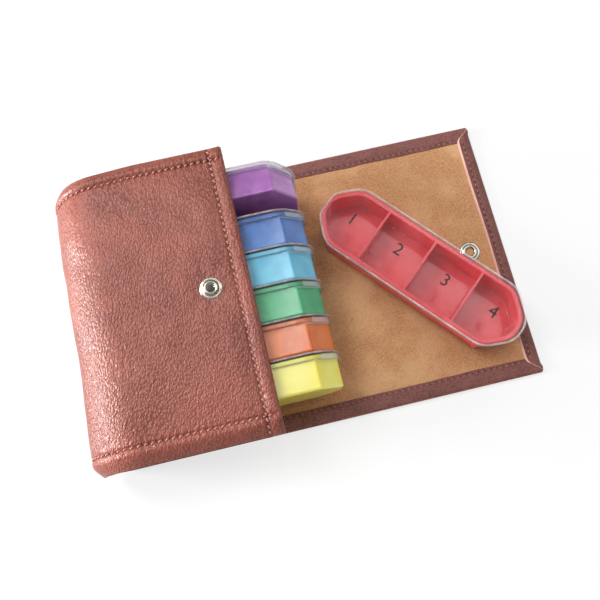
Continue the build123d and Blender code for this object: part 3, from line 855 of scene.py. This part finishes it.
def lidBead(name):
    # a thin round bead on the lid's top edge: eight sides pulled in by the corner radius, and arcs of that radius
    # round the corners between them
    # the bead's pale colour is a painted highlight along the lid's top edge
    origin, first, third = boxFrame(name)
    second = np.cross(third, first)
    turn = np.arange(9) * np.pi / 4
    slant = (bead["halfLong"] + bead["halfWide"] - bead["cut"]) / math.sqrt(2)
    reach = np.array([bead["halfLong"], slant, bead["halfWide"], slant] * 2 + [bead["halfLong"]]) - bead["round"]
    way = np.stack([np.cos(turn), np.sin(turn)], -1)
    ways, reaches = (np.stack([part[:-1], part[1:]], 1) for part in (way, reach))
    corner = np.linalg.solve(ways, reaches[..., None])[..., 0]
    steps, sides = 8, 8
    angle = (turn[:-1, None] + np.linspace(0, np.pi / 4, steps)[None, :]).ravel()
    arc = np.stack([np.cos(angle), np.sin(angle)], -1)
    line = np.repeat(corner, steps, 0) + (bead["round"] - bead["inset"]) * arc
    line[:, 0] = np.maximum(line[:, 0], bead["trailEnd"])
    ring = np.linspace(0, 2 * np.pi, sides, endpoint=False)[None, :, None]
    flat = line[:, None] + bead["wide"] * np.cos(ring) * arc[:, None]
    up = dayBox["overLid"] - bead["sunk"] + bead["high"] * np.sin(ring[..., 0]) + 0 * flat[..., 0]
    points = origin + flat[..., :1] * first + flat[..., 1:] * second + up[..., None] * third
    ids = np.arange(len(points) * sides).reshape(-1, sides)
    after, beside = np.roll(ids, -1, 0), np.roll(ids, -1, 1)
    faces = np.stack([ids, after, np.roll(after, -1, 1), beside], -1).reshape(-1, 4)
    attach(makePiece(name + "Bead", points.reshape(-1, 3), faces.tolist(), [paintedHighlightRim]), name + "_lid")


for name in plastics:
    lidBead(name)
    for number in range(1, 5):
        figure(name, number)
print("figures and beads done")

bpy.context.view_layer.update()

floorMesh = bpy.data.meshes.new("floor")
floorMesh.from_pydata([(-3, -3, 0), (3, -3, 0), (3, 3, 0), (-3, 3, 0)], [], [(0, 1, 2, 3)])
floor = bpy.data.objects.new("floor", floorMesh)
bpy.context.collection.objects.link(floor)
floorFinish = Finish("floorPaper")
seen = floorFinish.node("LightPath", out="Is Camera Ray")
for ray in ("Is Glossy Ray", "Is Transmission Ray"):
    seen = seen + floorFinish.node("LightPath", out=ray)
paper = floorFinish.skin(Base_Color=(0.9, 0.9, 0.9, 1), Roughness=0.9)
glow = floorFinish.node("Emission", None, {"Color": (1, 1, 1, 1), "Strength": 1.0})
floorFinish.done(floorFinish.node("MixShader", None, {0: seen * 0.7, 1: paper, 2: glow}))
floorMesh.materials.append(floorFinish.material)

lamps = {"key": ((-0.42, 0.36, 0.78), 0.3, 0.5, 4.6), "spine": ((-0.95, 0.1, 0.2), 0.25, 0.5, 18.0),
         "strip": ((0.06, 0.27, 0.95), 0.05, 0.5, 0.7), "right": ((0.5, 0.3, 0.95), 0.5, 0.5, 1.6)}
for name, (spot, wide, long, power) in lamps.items():
    light = bpy.data.lights.new(name, "AREA")
    light.shape, light.size, light.size_y, light.energy = "RECTANGLE", wide, long, power
    lamp = bpy.data.objects.new(name, light)
    lamp.location = spot
    lamp.rotation_mode = "QUATERNION"
    lamp.rotation_quaternion = lamp.location.to_track_quat("Z", "Y")
    bpy.context.collection.objects.link(lamp)

world = bpy.data.worlds.new("studio")
bpy.context.scene.world = world
world.use_nodes = True
sky, skyLevel = world.node_tree.nodes["Background"], 0.4
sky.inputs["Color"].default_value = (1, 1, 1, 1)
rays = world.node_tree.nodes.new("ShaderNodeLightPath")
level = world.node_tree.nodes.new("ShaderNodeMath")  # white behind the object, the plain level elsewhere
level.operation = "MULTIPLY_ADD"
level.inputs[1].default_value, level.inputs[2].default_value = 1 - skyLevel, skyLevel
world.node_tree.links.new(rays.outputs["Is Camera Ray"], level.inputs[0])
world.node_tree.links.new(level.outputs[0], sky.inputs["Strength"])

shot = {"at": (-22.08, -87.98, 347.25), "right": (0.97301, -0.23074, 0.00423), "up": (0.22288, 0.94433, 0.24201),
        "back": (-0.05983, -0.23454, 0.97026), "lens": 44.15}
camera = bpy.data.objects.new("camera", bpy.data.cameras.new("camera"))
camera.data.lens, camera.data.sensor_width, camera.data.clip_start = shot["lens"], 36.0, 0.01
axes = Matrix([[shot[key][row] for key in ("right", "up", "back")] for row in range(3)]).to_4x4()
axes.translation = [part * mm for part in shot["at"]]
camera.matrix_world = axes
bpy.context.collection.objects.link(camera)
bpy.context.scene.camera = camera
bpy.context.scene.view_settings.view_transform = "Standard"
print("stage, light and camera done")
